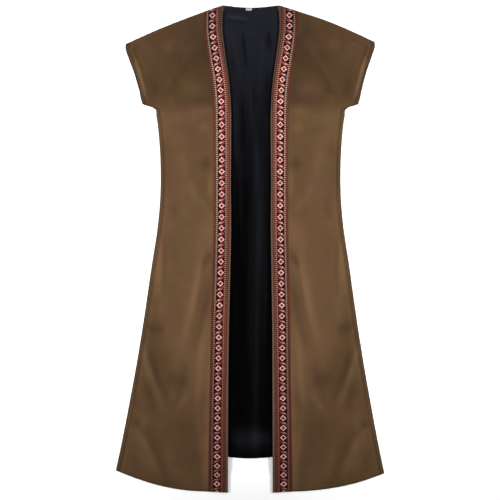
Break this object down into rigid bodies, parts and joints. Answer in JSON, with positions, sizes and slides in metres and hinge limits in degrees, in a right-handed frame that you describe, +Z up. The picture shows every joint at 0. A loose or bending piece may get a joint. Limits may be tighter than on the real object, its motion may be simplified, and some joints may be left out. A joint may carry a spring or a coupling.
{
  "type": "renaissance vest",
  "caption": "Long open-front costume vest with cap sleeves and ribboned front edges, laid flat on its back.",
  "frame": {"origin": "on the surface that the vest lies on, under the middle of its whole length and width", "axes": "+X towards the wearer's left, +Y from hem to neck, +Z up from the surface, out of the fronts"},
  "size_m": [0.658, 1.195, 0.0123],
  "materials": {
    "brown_suede": "short even nap with a soft sheen",
    "black_lining": "smooth satin",
    "woven_ribbon": "jacquard weave in maroon, black, tan, red and pinkish white",
    "label_tape": "smooth woven tape, blank"
  },
  "bodies": {
    "root": {"back_shell": "brown_suede", "back_lining": "black_lining", "neck_label": "label_tape", "front_left": "brown_suede", "ribbon_left": "woven_ribbon", "front_right": "brown_suede", "ribbon_right": "woven_ribbon"}
  },
  "joints": []
}
